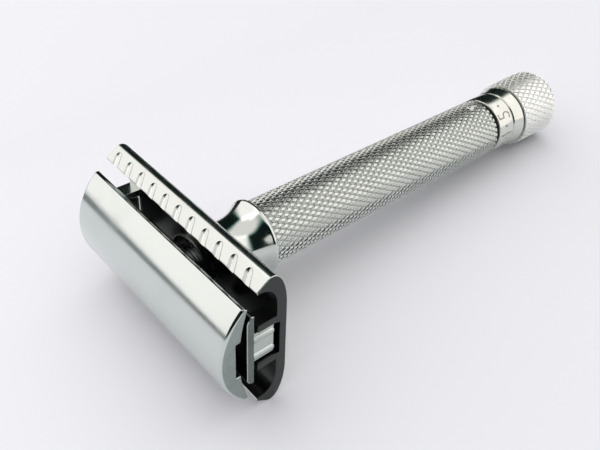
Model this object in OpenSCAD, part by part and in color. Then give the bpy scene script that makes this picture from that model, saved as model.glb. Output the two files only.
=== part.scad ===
// Adjustable double-edge safety razor, lying on its side.
// +X runs along the handle from the head to the knob, +Y along the head, +Z up.
// The origin is the middle of the blade seat, on the handle's axis.

/* [Head] */
// Length of the head along the blade
head_l = 43; // [42:0.5:44]
// Width of the cap across the blade
cap_w = 19.3; // [19:0.1:19.6]
// Height of the cap's crown above the blade seat
cap_rise = 4.95; // [4.7:0.05:5.2]
// Radius of the cap's crown
cap_r = 13.4; // [13:0.1:14]
// Radius of the hollow under the cap
cap_under_r = 31; // [29:0.5:33]
// Width of the blade bed
bed_w = 14.3; // [13.5:0.1:14.6]
// Thickness of the blade bed
bed_t = 1.35; // [1.2:0.05:1.5]
// Width of the bed's end tabs
tab_w = 6.1; // [5.8:0.1:6.4]
// Number of grooves in each safety bar
groove_n = 11; // [7:2:11]
// Distance between the grooves
groove_pitch = 3.73; // [3.4:0.01:3.8]
// Slant of the grooves across the safety bar, in degrees
groove_slant = 31; // [0:1:42]

/* [Neck and handle] */
// Radius of the neck's polished rim
rim_r = 7.05; // [6.8:0.05:7.2]
// Radius of the neck's waist
waist_r = 5.35; // [5.2:0.05:5.6]
// Radius of the knurled handle
handle_r = 6.25; // [6.1:0.05:6.4]
// Length of the knurled handle
handle_l = 61.9; // [55:0.1:65]

/* [Dial and knob] */
// Radius of the numbered band
dial_r = 6.3; // [6.2:0.05:6.4]
// Length of the numbered band
dial_l = 4.8; // [4.6:0.1:5]
// Radius of the plain collar behind the numbered band
collar_r = 6.8; // [6.6:0.05:6.9]
// Length of the plain collar
collar_l = 3.3; // [3.1:0.1:3.5]
// Radius of the knurled knob
knob_r = 7.45; // [7.2:0.05:7.6]
// Length of the knurled knob
knob_l = 12.6; // [12:0.1:13]

/* [Mechanism] */
// Radius of the cap's threaded post
post_r = 2; // [1.9:0.05:2]
// Radius of the sleeve behind the blade bed
sleeve_r = 3.24; // [3.2:0.01:3.24]
// Turns in the bed's spring
spring_turns = 6; // [4:1:7]
// Angle between two numbers on the dial, in degrees
number_step = 45; // [40:1:50]

/* [Hidden] */

// Places along the handle
guard_x = 1.6;
wall_in_x = 5.4;
wall_out_x = 7.3;
waist_x = 10.6;
rim_x = 16.9;
neck_x = 17.4;
spigot_x = 26;
handle_x = neck_x + handle_l;
gap_w = 1;
dial_x = handle_x + gap_w;
groove_w = 0.3;
collar_x = dial_x + dial_l + groove_w;
knob_x = collar_x + collar_l;
end_x = knob_x + knob_l;

// Head
cap_edge_z = cap_w / 2;
cap_channel_x = -2.15;
cap_channel_z = 3.6;
lug_y = 9;
lug_r = 1.6;
lug_end_x = 4.4;
bed_chamfer = 1.1;
tab_end_x = 5.4;
tab_l = 2.6;
bed_l = head_l - 0.3;
rib_r = 0.75;
rib_z = 1.75;
guard_z = 11.6;
guard_lip = 0.42;
arm_t = 1.35;
arm_l = 3.2;
arm_gap = 0.3;
arm_x = 1.86;
slot_x = 6;
facet_dx = 1.9;
facet_dz = 1.4;
facet_a = atan2(facet_dz, facet_dx);
groove_r = 1.05;
groove_depth = 0.3;
groove_fade = 7;
groove_shift = 0.25;

// Bores and clearances
run_gap = 0.06;
thread_gap = 0.05;
sleeve_bore_r = sleeve_r + run_gap;
spigot_r = 4.6;
bore_r = 4.62;
spigot_floor = 1.5;
sleeve_end_x = 11.5;
seat_t = 0.8;
seat_x = spigot_x - spigot_floor - seat_t;
spring_x = 12.1;
wire_r = 0.35;
coil_r = 2.72;
nut_r = 3.4;
nut_x = 69;
nut_end_x = knob_x + 3.4;
bush_l = 7;
bush_x = handle_x - bush_l;
ring_t = 0.8;
ring_r = 4.3;
washer_t = 0.5;
seal_r = 5.75;
post_end_x = knob_x + 0.4;
lock_r = 2.5;
relief_r = 2.4;
lock_l = 5;
lock_x = end_x - 1.2 - lock_l;
hex_r = 1.45;
knob_round = 2;

// Marks
mark_l = 2.6;
mark_w = 1.8;
mark_depth = 0.3;
mark_x = 75.6;
glyph_h = 3.4;
glyph_w = 2;
stroke = 0.3;
enamel_t = 0.06;
dot_r = 0.3;
first_number_a = 317;

// Points of a cubic curve through four control points
function curve(a, b, c, d, n) = [
    for (i = [0 : n]) let (t = i / n, s = 1 - t)
        a * s * s * s + b * 3 * s * s * t + c * 3 * s * t * t + d * t * t * t
];
function backwards(pts) = [for (i = [len(pts) - 1 : -1 : 0]) pts[i]];
function mirrored(pts) = [for (p = pts) [p.x, -p.y]];

// A round bar along X from x0 to x1
module bar(x0, x1, r) {
    translate([x0, 0, 0])
        rotate([0, 90, 0])
            cylinder(h = x1 - x0, r = r, $fn = 72);
}

// A tube along X
module tube(x0, x1, r, bore) {
    difference() {
        bar(x0, x1, r);
        bar(x0 - 1, x1 + 1, bore);
    }
}

// A profile in X and Z, stretched along the head
module along_head(l) {
    rotate([90, 0, 0])
        linear_extrude(height = l, center = true)
            children();
}

// A profile of X and radius, turned about the handle's axis
module turned(pts) {
    rotate([0, 90, 0])
        rotate_extrude($fn = 96)
            polygon([for (p = pts) [p.y, p.x]]);
}

module cap_profile() {
    difference() {
        intersection() {
            translate([cap_r - cap_rise, 0]) circle(r = cap_r, $fn = 120);
            translate([-cap_rise - 1, -cap_edge_z]) square([cap_rise + 1, cap_w]);
        }
        translate([cap_under_r - 1.5, 0]) circle(r = cap_under_r, $fn = 120);
        translate([cap_channel_x, -cap_channel_z]) square([4, 2 * cap_channel_z]);
    }
}

module cap() {
    color("silver")
        difference() {
            union() {
                along_head(head_l) cap_profile();
                bar(cap_channel_x - 0.5, -0.9, 3.3);
            }
            bar(cap_channel_x - 0.6, 0, post_r);
            for (y = [-lug_y, lug_y])
                translate([0, y, 0]) bar(cap_channel_x - 0.6, 0, lug_r);
        }
}

module cap_post() {
    color("lightgray") bar(cap_channel_x - 0.6, post_end_x, post_r);
}

module cap_lugs() {
    color("lightgray")
        for (y = [-lug_y, lug_y])
            translate([0, y, 0]) bar(cap_channel_x - 0.6, lug_end_x, lug_r);
}

module bed_profile() {
    h = bed_w / 2;
    polygon([
        [0, -h + bed_chamfer], [bed_chamfer * 0.8, -h], [bed_t, -h],
        [bed_t, h], [bed_chamfer * 0.8, h], [0, h - bed_chamfer]
    ]);
}

// One end tab with its two half-round ribs, on the +Y end
module bed_tab() {
    rib_y = bed_l / 2 - 0.35;
    translate([bed_t, rib_y - tab_l, -tab_w / 2])
        cube([tab_end_x - bed_t, tab_l, tab_w]);
    for (z = [-rib_z, rib_z])
        translate([0, rib_y - rib_r + 0.35, z]) bar(bed_t, tab_end_x, rib_r);
}

module blade_bed() {
    color("gainsboro")
        difference() {
            union() {
                along_head(bed_l) bed_profile();
                bed_tab();
                mirror([0, 1, 0]) bed_tab();
            }
            bar(-1, bed_t + 1, post_r + run_gap);
            for (y = [-lug_y, lug_y])
                translate([0, y, 0]) bar(-1, bed_t + 1, lug_r + run_gap);
        }
}

module bed_sleeve() {
    color("silver") tube(bed_t, sleeve_end_x, sleeve_r, post_r + run_gap);
}

// Rings of the coil's wire, one after another along the helix
module bed_spring() {
    sides = 8;
    per_turn = 24;
    rings = spring_turns * per_turn;
    pitch = (seat_x - spring_x - 2 * wire_r) / spring_turns;
    pts = [
        for (i = [0 : rings]) let (a = i * 360 / per_turn)
            for (k = [0 : sides - 1]) let (b = k * 360 / sides, r = coil_r + wire_r * cos(b))
                [spring_x + wire_r + pitch * i / per_turn + wire_r * sin(b), r * cos(a), r * sin(a)]
    ];
    quads = [
        for (i = [0 : rings - 1]) for (k = [0 : sides - 1]) let (m = (k + 1) % sides)
            [i * sides + k, i * sides + m, (i + 1) * sides + m, (i + 1) * sides + k]
    ];
    ends = [
        [for (k = [sides - 1 : -1 : 0]) k],
        [for (k = [0 : sides - 1]) rings * sides + k]
    ];
    color("dimgray") polyhedron(points = pts, faces = concat(quads, ends));
}

module spring_seat() {
    color("goldenrod") tube(seat_x, seat_x + seat_t, sleeve_r, post_r + run_gap);
}

// The channel's outline: guard edge, facet, rounded back, and the same inside
module base_profile() {
    facet_end = [guard_x + facet_dx, guard_z + facet_dz];
    outer = concat(
        [[guard_x, guard_z]],
        curve(facet_end, [5.3, 14.25], [7.1, 11.6], [wall_out_x, 7], 10)
    );
    inner = curve([guard_x + 0.12, guard_z - guard_lip], [3.6, 11.3], [5.3, 10.2], [wall_in_x, 7], 8);
    polygon(concat(outer, backwards(mirrored(outer)), mirrored(inner), backwards(inner)));
}

// The grooves of the upper safety bar
module grooves() {
    for (i = [0 : groove_n - 1])
        translate([guard_x, (i - (groove_n - 1) / 2) * groove_pitch - groove_shift, guard_z])
            rotate([0, -facet_a, 0])
                rotate([0, 0, groove_slant])
                    translate([0, 0, groove_r - groove_depth])
                        rotate([0, 90 - groove_fade, 0])
                            translate([0, 0, -2]) cylinder(h = 8, r = groove_r, $fn = 32);
}

// The two arms that guide a bed tab, on the +Y end
module guide_arms() {
    inner_z = tab_w / 2 + arm_gap;
    for (z = [inner_z, -inner_z - arm_t])
        translate([arm_x, head_l / 2 - arm_l, z]) cube([wall_in_x - arm_x + 0.2, arm_l, arm_t]);
}

module guide_slot() {
    inner_z = tab_w / 2 + arm_gap;
    translate([wall_in_x - 0.5, head_l / 2 - arm_l, -inner_z])
        cube([slot_x - wall_in_x + 0.5, arm_l + 1, 2 * inner_z]);
}

module base_plate() {
    color("silver")
        difference() {
            union() {
                along_head(head_l) base_profile();
                guide_arms();
                mirror([0, 1, 0]) guide_arms();
            }
            guide_slot();
            mirror([0, 1, 0]) guide_slot();
            bar(0, 10, spigot_r);
            grooves();
            rotate([180, 0, 0]) grooves();
        }
}

module neck_nut() {
    color("silver") tube(wall_in_x - 1.3, wall_in_x, 6, spigot_r);
}

module neck_collar() {
    outline = concat(
        [[wall_in_x - 1.3, sleeve_bore_r], [wall_in_x - 1.3, spigot_r], [wall_out_x, spigot_r]],
        curve([wall_out_x, 6.7], [wall_out_x + 0.6, 5.7], [9, waist_r], [waist_x, waist_r], 6),
        curve([waist_x + 0.4, waist_r], [13.4, waist_r], [15, 6.4], [rim_x, rim_r], 10),
        [[neck_x, rim_r], [neck_x, spigot_r], [spigot_x, spigot_r], [spigot_x, sleeve_bore_r]]
    );
    color("silver")
        union() {
            turned(outline);
            tube(spigot_x - spigot_floor, spigot_x, spigot_r, post_r + run_gap);
        }
}

// The triangular inlay that the numbers are read against
module mark_prism() {
    translate([mark_x, 0, handle_r - mark_depth])
        linear_extrude(height = 1)
            polygon([[0, -mark_w / 2], [mark_l, 0], [0, mark_w / 2]]);
}

module handle_tube() {
    color("darkgray")
        difference() {
            bar(neck_x, handle_x, handle_r);
            bar(neck_x - 1, handle_x + 1, bore_r);
            mark_prism();
        }
}

module index_mark() {
    color("white")
        intersection() {
            mark_prism();
            bar(neck_x, handle_x, handle_r);
        }
}

module bearing_bush() {
    color("goldenrod") tube(bush_x, handle_x, bore_r, nut_r + thread_gap);
}

module thrust_washer() {
    color("goldenrod") tube(bush_x - washer_t, bush_x, ring_r, nut_r + thread_gap);
}

module retaining_ring() {
    color("dimgray") tube(bush_x - washer_t - 0.05 - ring_t, bush_x - washer_t - 0.05, ring_r, nut_r);
}

module draw_nut() {
    color("goldenrod") tube(nut_x, nut_end_x, nut_r, post_r + thread_gap);
}

module gap_seal() {
    color("black") tube(handle_x, dial_x - 0.06, seal_r, nut_r + 0.1);
}

// The numbered band, a fine groove and the plain collar
module dial_ring() {
    color("silver")
        difference() {
            union() {
                bar(dial_x, collar_x, dial_r - 0.2);
                bar(dial_x, collar_x - groove_w, dial_r);
                bar(collar_x, knob_x, collar_r);
            }
            bar(dial_x - 1, knob_x + 1, nut_r);
        }
}

// Strokes of the numbers one to five, on a grid two wide and four high
function strokes(n) = [
    [[[1, 0], [1, 4]]],
    [[[0, 4], [2, 4]], [[2, 4], [2, 2]], [[2, 2], [0, 2]], [[0, 2], [0, 0]], [[0, 0], [2, 0]]],
    [[[0, 4], [2, 4]], [[2, 4], [2, 0]], [[0, 2], [2, 2]], [[0, 0], [2, 0]]],
    [[[0, 4], [0, 2]], [[0, 2], [2, 2]], [[2, 4], [2, 0]]],
    [[[2, 4], [0, 4]], [[0, 4], [0, 2]], [[0, 2], [2, 2]], [[2, 2], [2, 0]], [[2, 0], [0, 0]]]
][n - 1];

// One stroke, standing on the dial's top, with the number's head towards the razor's head
module stroke_bar(p, q) {
    lo = [min(p.x, q.x), min(p.y, q.y)];
    hi = [max(p.x, q.x), max(p.y, q.y)];
    sx = glyph_w / 2;
    sy = glyph_h / 4;
    translate([-(hi.y - 2) * sy - stroke / 2, (lo.x - 1) * sx - stroke / 2, 0])
        cube([(hi.y - lo.y) * sy + stroke, (hi.x - lo.x) * sx + stroke, dial_r + 1]);
}

module dial_numerals() {
    color("dimgray")
        intersection() {
            tube(dial_x, collar_x, dial_r + enamel_t, dial_r);
            for (n = [1 : 5])
                translate([dial_x + dial_l / 2, 0, 0])
                    rotate([first_number_a - (n - 1) * number_step - 90, 0, 0])
                        for (s = strokes(n)) stroke_bar(s[0], s[1]);
        }
}

module dial_dots() {
    color("dimgray")
        intersection() {
            tube(dial_x, collar_x, dial_r + enamel_t, dial_r);
            for (n = [1 : 5])
                rotate([first_number_a - (n - 0.5) * number_step - 90, 0, 0])
                    translate([dial_x + dial_l / 2, 0, 0]) cylinder(h = dial_r + 1, r = dot_r, $fn = 24);
        }
}

module knob_shell() {
    round_pts = [
        for (a = [0 : 15 : 90]) [
            end_x - knob_round + knob_round * sin(a),
            knob_r - knob_round + knob_round * cos(a)
        ]
    ];
    outline = concat(
        [[knob_x, nut_r], [knob_x, knob_r]],
        round_pts,
        [[end_x, lock_r], [lock_x, lock_r], [lock_x, relief_r], [nut_end_x, relief_r], [nut_end_x, nut_r]]
    );
    color("darkgray") turned(outline);
}

module lock_screw() {
    color("dimgray")
        difference() {
            bar(lock_x, lock_x + lock_l, lock_r);
            translate([lock_x + lock_l - 2, 0, 0])
                rotate([0, 90, 0])
                    cylinder(h = 3, r = hex_r, $fn = 6);
        }
}

cap();
cap_post();
cap_lugs();
blade_bed();
bed_sleeve();
bed_spring();
spring_seat();
base_plate();
neck_nut();
neck_collar();
handle_tube();
index_mark();
bearing_bush();
thrust_washer();
retaining_ring();
draw_nut();
gap_seal();
dial_ring();
dial_numerals();
dial_dots();
knob_shell();
lock_screw();
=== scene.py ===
"""Looks of an adjustable double-edge safety razor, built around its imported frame."""

import logging
import math
from dataclasses import dataclass
from enum import Enum
from typing import Callable, Iterable, Sequence

import bpy
from mathutils import Matrix, Vector

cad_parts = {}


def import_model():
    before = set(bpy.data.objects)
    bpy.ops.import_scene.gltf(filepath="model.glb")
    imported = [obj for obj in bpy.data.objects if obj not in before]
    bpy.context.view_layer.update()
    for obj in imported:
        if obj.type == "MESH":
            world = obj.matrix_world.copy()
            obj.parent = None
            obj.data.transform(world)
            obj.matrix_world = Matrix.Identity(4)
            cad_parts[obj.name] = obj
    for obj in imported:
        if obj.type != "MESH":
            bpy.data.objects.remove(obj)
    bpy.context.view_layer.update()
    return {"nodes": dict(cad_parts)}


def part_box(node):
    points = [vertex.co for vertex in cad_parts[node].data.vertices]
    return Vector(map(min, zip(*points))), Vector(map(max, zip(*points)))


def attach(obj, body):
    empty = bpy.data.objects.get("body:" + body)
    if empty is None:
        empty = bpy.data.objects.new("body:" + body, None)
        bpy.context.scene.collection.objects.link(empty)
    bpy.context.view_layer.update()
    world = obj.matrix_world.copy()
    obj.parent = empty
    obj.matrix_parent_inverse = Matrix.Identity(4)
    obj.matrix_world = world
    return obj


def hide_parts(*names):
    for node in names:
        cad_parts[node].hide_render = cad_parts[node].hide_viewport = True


LOG = logging.getLogger("razor")
MM = 0.001
AXIS_X = (1.0, 0.0, 0.0)
MERGE = 0.002 * MM
SHEET_MERGE = 0.004 * MM
SEAM_MERGE = 0.006 * MM
CUT = 0.001 * MM
Point = tuple[float, float]


# ---------------------------------------------------------------- shader maths


class Value:
    """A shader number that takes part in Python arithmetic."""

    def __init__(self, kit: "ShaderKit", socket: bpy.types.NodeSocket) -> None:
        """Wraps a socket.

        Args:
            kit: The material that the socket belongs to.
            socket: The output that carries the number.
        """
        self.kit = kit
        self.socket = socket

    def _math(self, operation: str, first: object, second: object) -> "Value":
        """Adds one Math node.

        Args:
            operation: The Math node's operation.
            first: The first input.
            second: The second input.

        Returns:
            The node's result.
        """
        node = self.kit.node("ShaderNodeMath", {"operation": operation}, {0: first, 1: second})
        return Value(self.kit, node.outputs[0])

    def __add__(self, other: object) -> "Value":
        """Self plus other."""
        return self._math("ADD", self, other)

    def __radd__(self, other: object) -> "Value":
        """Other plus self."""
        return self._math("ADD", other, self)

    def __sub__(self, other: object) -> "Value":
        """Self minus other."""
        return self._math("SUBTRACT", self, other)

    def __rsub__(self, other: object) -> "Value":
        """Other minus self."""
        return self._math("SUBTRACT", other, self)

    def __mul__(self, other: object) -> "Value":
        """Self times other."""
        return self._math("MULTIPLY", self, other)

    def __rmul__(self, other: object) -> "Value":
        """Other times self."""
        return self._math("MULTIPLY", other, self)

    def angle(self, other: "Value") -> "Value":
        """The angle of the point (other, self) round the origin, in radians."""
        return self._math("ARCTAN2", self, other)

    def arcsine(self) -> "Value":
        """The angle whose sine this is, in radians."""
        node = self.kit.node("ShaderNodeMath", {"operation": "ARCSINE", "use_clamp": False}, {0: self})
        return Value(self.kit, node.outputs[0])

    def step(self, low: float, high: float) -> "Value":
        """Smooth step from 0 at low to 1 at high.

        Args:
            low: Where the step starts.
            high: Where the step ends.

        Returns:
            The stepped value.
        """
        settings = {"interpolation_type": "SMOOTHSTEP"}
        links = {"Value": self, "From Min": low, "From Max": high}
        return Value(self.kit, self.kit.node("ShaderNodeMapRange", settings, links).outputs[0])


class ShaderKit:
    """A node tree that is filled in from Python."""

    def __init__(self, tree: bpy.types.NodeTree) -> None:
        """Empties the tree.

        Args:
            tree: The node tree to fill.
        """
        self.tree = tree
        self.tree.nodes.clear()

    def node(self, kind: str, settings: dict, inputs: dict) -> bpy.types.Node:
        """Adds a node, sets it up and feeds it.

        Args:
            kind: The node's type.
            settings: Its settings, which are set before its sockets.
            inputs: Socket names or numbers, with a value or something to link.

        Returns:
            The new node.
        """
        new = self.tree.nodes.new(kind)
        for key, value in settings.items():
            setattr(new, key, value)
        for key, value in inputs.items():
            socket = new.inputs[key]
            if isinstance(value, Value):
                self.tree.links.new(value.socket, socket)
            elif isinstance(value, bpy.types.NodeSocket):
                self.tree.links.new(value, socket)
            else:
                socket.default_value = value
        return new

    def noise(self, place: bpy.types.NodeSocket, scale: float, detail: float, rough: float = 0.5) -> Value:
        """Cloudy noise at a place.

        Args:
            place: The coordinates to read.
            scale: Waves per metre.
            detail: Number of finer layers.
            rough: Strength of the finer layers.

        Returns:
            The noise, from 0 to 1.
        """
        inputs = {"Vector": place, "Scale": scale, "Detail": detail, "Roughness": rough}
        return Value(self, self.node("ShaderNodeTexNoise", {}, inputs).outputs[0])

    def stretched(
        self, place: bpy.types.NodeSocket, turn: Sequence[float], scale: Sequence[float]
    ) -> bpy.types.NodeSocket:
        """Turned and stretched coordinates.

        Args:
            place: The coordinates to start from.
            turn: Angles about X, Y and Z, in degrees.
            scale: Factors along X, Y and Z.

        Returns:
            The new coordinates.
        """
        angles = tuple(math.radians(a) for a in turn)
        inputs = {"Vector": place, "Rotation": angles, "Scale": tuple(scale)}
        return self.node("ShaderNodeMapping", {}, inputs).outputs[0]

    def mix(self, factor: Value, first: Sequence[float], second: Sequence[float]) -> bpy.types.NodeSocket:
        """A colour between two.

        Args:
            factor: 0 for the first colour, 1 for the second.
            first: The first colour.
            second: The second colour.

        Returns:
            The mixed colour.
        """
        inputs = {0: factor, 6: (*first, 1.0), 7: (*second, 1.0)}
        return self.node("ShaderNodeMix", {"data_type": "RGBA"}, inputs).outputs[2]

    def bump(self, strength: float, distance: float, height: Value) -> bpy.types.NodeSocket:
        """Small relief.

        Args:
            strength: How strongly it shows.
            distance: Its depth, in metres.
            height: Its height, from 0 to 1.

        Returns:
            The bumped normal.
        """
        inputs = {"Strength": strength, "Distance": distance, "Height": height}
        return self.node("ShaderNodeBump", {}, inputs).outputs[0]

    def surface(self, inputs: dict) -> None:
        """Adds the surface shader and the output.

        Args:
            inputs: The shader's sockets, with a value or something to link.
        """
        shader = self.node("ShaderNodeBsdfPrincipled", {}, inputs)
        self.node("ShaderNodeOutputMaterial", {}, {"Surface": shader.outputs[0]})


def blank(name: str) -> tuple[bpy.types.Material, ShaderKit]:
    """A new material with an empty node tree.

    Args:
        name: The material's name.
    """
    made = bpy.data.materials.new(name)
    made.use_nodes = True
    return made, ShaderKit(made.node_tree)


def matt_paint(name: str, colour: Sequence[float], roughness: float) -> bpy.types.Material:
    """An even matt paint.

    Args:
        name: The material's name.
        colour: Its colour.
        roughness: Its roughness.

    Returns:
        The material.
    """
    made, kit = blank(name)
    kit.surface({"Base Color": (*colour, 1), "Roughness": roughness})
    return made


# -------------------------------------------------------------------- finishes


class Grain(Enum):
    """Direction of the fine marks that finishing leaves on metal, as stretch factors along X, Y and Z."""

    TURNED = (30.0, 1.2, 1.2)
    ALONG_HEAD = (6.0, 0.35, 6.0)
    TUMBLED = (1.0, 1.0, 1.0)


@dataclass(frozen=True)
class MetalFinish:
    """A plated or machined metal.

    Attributes:
        name: The material's name.
        colour: Its base colour.
        shade: The colour of its duller patches.
        roughness: Its mean roughness.
        spread: How far the roughness wanders.
        grain: The direction of its fine marks.
        grain_scale: Fine marks per metre.
        grain_bump: Height of the fine marks, in metres.
        haze: How strongly handling marks dull it.
    """

    name: str
    colour: tuple[float, float, float]
    shade: tuple[float, float, float]
    roughness: float
    spread: float
    grain: Grain
    grain_scale: float
    grain_bump: float
    haze: float

    def material(self) -> bpy.types.Material:
        """Builds the material.

        Returns:
            The material, ready to assign.
        """
        made, kit = blank(self.name)
        place = kit.node("ShaderNodeTexCoord", {}, {}).outputs["Object"]
        marks = kit.noise(kit.stretched(place, (0, 0, 0), self.grain.value), self.grain_scale, 3.0, 0.65)
        hairs = kit.noise(kit.stretched(place, (25, 8, 37), (0.06, 1.0, 1.0)), 5200.0, 2.0, 0.6)
        patches = kit.noise(place, 160.0, 4.0, 0.6)
        specks = kit.noise(place, 2600.0, 1.0)
        handled = patches.step(0.46, 0.72) * self.haze
        scratched = hairs.step(0.66, 0.74) * 0.5
        roughness = self.roughness + (marks - 0.5) * self.spread + handled * 0.16 + scratched * 0.1
        tint = handled * 0.7 + specks.step(0.68, 0.78) * 0.25
        colour = kit.mix(tint, self.colour, self.shade)
        relief = marks + hairs * 0.3
        bump = kit.bump(0.35, self.grain_bump, relief)
        kit.surface({"Base Color": colour, "Metallic": 1.0, "Roughness": roughness, "Normal": bump})
        return made


@dataclass(frozen=True)
class PlainFinish:
    """Enamel or rubber.

    Attributes:
        name: The material's name.
        colour: Its base colour.
        shade: The colour of its darker patches.
        roughness: Its mean roughness.
        spread: How far the roughness wanders.
        grain_scale: Size of its fine grain, per metre.
        grain_bump: Height of the grain, in metres.
        coat: Weight of a clear coat.
    """

    name: str
    colour: tuple[float, float, float]
    shade: tuple[float, float, float]
    roughness: float
    spread: float
    grain_scale: float
    grain_bump: float
    coat: float

    def material(self) -> bpy.types.Material:
        """Builds the material.

        Returns:
            The material, ready to assign.
        """
        made, kit = blank(self.name)
        place = kit.node("ShaderNodeTexCoord", {}, {}).outputs["Object"]
        grain = kit.noise(place, self.grain_scale, 3.0, 0.6)
        patches = kit.noise(place, 420.0, 3.0)
        colour = kit.mix(patches.step(0.4, 0.75), self.colour, self.shade)
        bump = kit.bump(0.5, self.grain_bump, grain)
        kit.surface(
            {
                "Base Color": colour,
                "Roughness": self.roughness + (grain - 0.5) * self.spread,
                "Coat Weight": self.coat,
                "Normal": bump,
            }
        )
        return made


CAP_CHROME = MetalFinish(
    "cap_chrome", (0.6, 0.645, 0.62), (0.52, 0.57, 0.54), 0.15, 0.05, Grain.ALONG_HEAD, 900.0, 1.2e-6, 0.35
)
HEAD_CHROME = MetalFinish(
    "head_chrome", (0.61, 0.645, 0.615), (0.54, 0.58, 0.55), 0.18, 0.07, Grain.ALONG_HEAD, 1400.0, 2.0e-6, 0.5
)
BED_CHROME = MetalFinish(
    "bed_chrome", (0.5, 0.55, 0.52), (0.38, 0.43, 0.4), 0.24, 0.1, Grain.TUMBLED, 1600.0, 3.0e-6, 0.6
)
NECK_CHROME = MetalFinish(
    "neck_chrome", (0.6, 0.64, 0.61), (0.54, 0.58, 0.55), 0.09, 0.04, Grain.TURNED, 260.0, 1.0e-6, 0.3
)
KNURL_CHROME = MetalFinish(
    "knurl_chrome", (0.6, 0.63, 0.6), (0.5, 0.54, 0.51), 0.24, 0.06, Grain.TUMBLED, 1800.0, 2.5e-6, 0.35
)
# Paler copy of the knurl chrome for the knob: painted sheen for its pale look.
KNOB_SHEEN_CHROME = MetalFinish(
    "knob_painted_sheen_chrome", (0.84, 0.86, 0.83), (0.7, 0.72, 0.69), 0.4, 0.1, Grain.TUMBLED, 1800.0, 3.0e-6, 0.5
)
DIAL_CHROME = MetalFinish(
    "dial_chrome", (0.62, 0.64, 0.59), (0.52, 0.54, 0.49), 0.17, 0.1, Grain.TURNED, 330.0, 2.4e-6, 0.4
)
GROUND_CHROME = MetalFinish(
    "ground_chrome", (0.6, 0.65, 0.62), (0.33, 0.37, 0.345), 0.27, 0.1, Grain.TUMBLED, 1500.0, 3.0e-6, 0.6
)
# Darker copy of the cap's chrome for its end faces: painted shade.
CAP_END_SHADED_CHROME = MetalFinish(
    "cap_end_painted_shade", (0.3, 0.345, 0.325), (0.18, 0.22, 0.2), 0.24, 0.1, Grain.TUMBLED, 1500.0, 3.0e-6, 0.7
)
# Much darker copy of the bed's chrome for its end faces: painted shade.
BED_END_SHADED_CHROME = MetalFinish(
    "bed_end_painted_shade", (0.15, 0.185, 0.17), (0.09, 0.11, 0.1), 0.26, 0.1, Grain.TUMBLED, 1500.0, 3.0e-6, 0.6
)
# Near-black chrome for the cap's underside, the blade bed and the channel's insides: painted shade.
SHADE_PAINTED_CHROME = MetalFinish(
    "painted_shade_chrome", (0.05, 0.055, 0.053), (0.06, 0.07, 0.066), 0.3, 0.12, Grain.TUMBLED, 1300.0, 3.0e-6, 0.6
)
# Dark steel for the post, the lugs and the bed sleeve: painted shade, so they stay dark inside the head.
SHADED_POST_STEEL = MetalFinish(
    "post_steel_painted_shade", (0.15, 0.16, 0.16), (0.1, 0.105, 0.105), 0.32, 0.1, Grain.TURNED, 300.0, 3.0e-6, 0.5
)
# Dark steel for the spring, the retaining ring and the lock screw: painted shade.
SHADED_SPRING_STEEL = MetalFinish(
    "spring_steel", (0.2, 0.2, 0.21), (0.12, 0.12, 0.13), 0.36, 0.12, Grain.TUMBLED, 1500.0, 3.0e-6, 0.6
)
TURNED_BRASS = MetalFinish(
    "turned_brass", (0.76, 0.58, 0.28), (0.52, 0.38, 0.17), 0.28, 0.1, Grain.TURNED, 300.0, 3.0e-6, 0.6
)
SEAL_RUBBER = PlainFinish(
    "seal_rubber", (0.004, 0.004, 0.004), (0.009, 0.009, 0.009), 0.75, 0.2, 2400.0, 1.5e-5, 0.0
)
WHITE_ENAMEL = PlainFinish(
    "white_enamel", (0.88, 0.88, 0.85), (0.76, 0.76, 0.72), 0.3, 0.12, 1500.0, 6e-6, 0.4
)
GREY_ENAMEL = PlainFinish(
    "grey_enamel", (0.33, 0.34, 0.31), (0.48, 0.49, 0.46), 0.42, 0.2, 1500.0, 1.0e-5, 0.1
)
FINISHES = (
    CAP_CHROME, HEAD_CHROME, BED_CHROME, NECK_CHROME, KNURL_CHROME, KNOB_SHEEN_CHROME, DIAL_CHROME,
    GROUND_CHROME, CAP_END_SHADED_CHROME, BED_END_SHADED_CHROME, SHADE_PAINTED_CHROME, SHADED_POST_STEEL, SHADED_SPRING_STEEL,
    TURNED_BRASS, SEAL_RUBBER, WHITE_ENAMEL, GREY_ENAMEL,
)


# ------------------------------------------------------------------ mesh tools


def arc(centre: Point, radius: float, start: float, end: float, steps: int) -> list[Point]:
    """Points along an arc.

    Args:
        centre: The arc's centre.
        radius: Its radius.
        start: Its first angle, in degrees.
        end: Its last angle, in degrees.
        steps: Number of chords.

    Returns:
        The points, both ends included.
    """
    angles = (math.radians(start + (end - start) * i / steps) for i in range(steps + 1))
    return [(centre[0] + radius * math.cos(a), centre[1] + radius * math.sin(a)) for a in angles]


def curve(a: Point, b: Point, c: Point, d: Point, steps: int) -> list[Point]:
    """Points along a cubic curve through four control points.

    Args:
        a: Start point.
        b: First control point.
        c: Second control point.
        d: End point.
        steps: Number of chords.

    Returns:
        The points, both ends included.
    """
    points = []
    for i in range(steps + 1):
        t = i / steps
        s = 1.0 - t
        weights = (s**3, 3 * s * s * t, 3 * s * t * t, t**3)
        points.append(tuple(sum(w * p[k] for w, p in zip(weights, (a, b, c, d))) for k in (0, 1)))
    return points


def mirrored(points: Iterable[Point]) -> list[Point]:
    """The points with their second number's sign changed."""
    return [(p[0], -p[1]) for p in points]


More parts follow.
